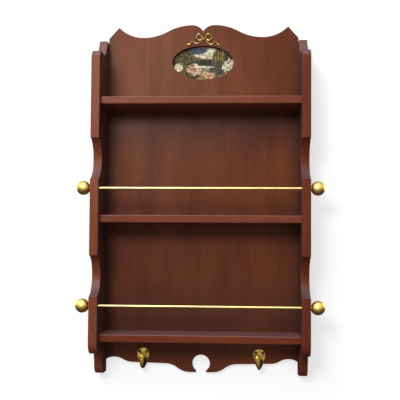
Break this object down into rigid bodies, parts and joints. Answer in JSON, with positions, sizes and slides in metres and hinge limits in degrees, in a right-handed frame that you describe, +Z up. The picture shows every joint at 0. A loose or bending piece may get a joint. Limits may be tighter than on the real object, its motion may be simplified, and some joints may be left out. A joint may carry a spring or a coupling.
{
  "type": "wall plate rack",
  "caption": "Wall-hung wooden plate rack: shelves between shaped side panels, brass plate rails that turn in the sides, cup hooks below and an oval picture in the crest.",
  "frame": {"origin": "on the wall plane, midway between the entry holes of the two hanger plates", "axes": "+Z up, the front of the rack faces -Y, +X to the right of someone facing it; the wall is the plane Y = 0"},
  "size_m": [0.5646, 0.133, 0.8405],
  "materials": {
    "side_wood": "red mahogany stain, satin lacquer",
    "back_veneer": "red mahogany veneer, satin lacquer",
    "shelf_wood": "red mahogany stain, satin lacquer",
    "dowel_wood": "bare beech",
    "screw_steel": "zinc plated",
    "print_paper": "varnished print",
    "backing_board": "bare hardboard",
    "gilt": "gilt, slightly dulled",
    "hook_brass": "antique brass",
    "rail_brass": "polished brass, slightly dulled",
    "hanger_steel": "zinc plated"
  },
  "bodies": {
    "carcass": {"left_side_panel": "side_wood", "right_side_panel": "side_wood", "back_panel": "back_veneer", "top_shelf": "shelf_wood", "middle_shelf": "shelf_wood", "bottom_shelf": "shelf_wood", "top_shelf_dowels": "dowel_wood", "middle_shelf_dowels": "dowel_wood", "bottom_shelf_dowels": "dowel_wood", "back_panel_dowels": "dowel_wood", "top_shelf_screws": "screw_steel", "middle_shelf_screws": "screw_steel", "bottom_shelf_screws": "screw_steel", "picture_print": "print_paper", "picture_backing": "backing_board", "picture_brads": "screw_steel", "bow_ornament": "gilt", "left_hook": "hook_brass", "right_hook": "hook_brass", "left_hook_screws": "hook_brass", "right_hook_screws": "hook_brass", "left_hanger_plate": "hanger_steel", "right_hanger_plate": "hanger_steel", "left_hanger_screws": "screw_steel", "right_hanger_screws": "screw_steel"},
    "upper_rail": {"upper_rail_rod": "rail_brass", "upper_left_finial": "rail_brass", "upper_right_finial": "rail_brass"},
    "lower_rail": {"lower_rail_rod": "rail_brass", "lower_left_finial": "rail_brass", "lower_right_finial": "rail_brass"}
  },
  "joints": [
    {"name": "upper_rail_spin", "type": "hinge", "parent": "carcass", "child": "upper_rail", "pos_m": [0, -0.117, -0.256], "axis": [1, 0, 0], "continuous": true},
    {"name": "lower_rail_spin", "type": "hinge", "parent": "carcass", "child": "lower_rail", "pos_m": [0, -0.117, -0.524], "axis": [1, 0, 0], "continuous": true}
  ]
}
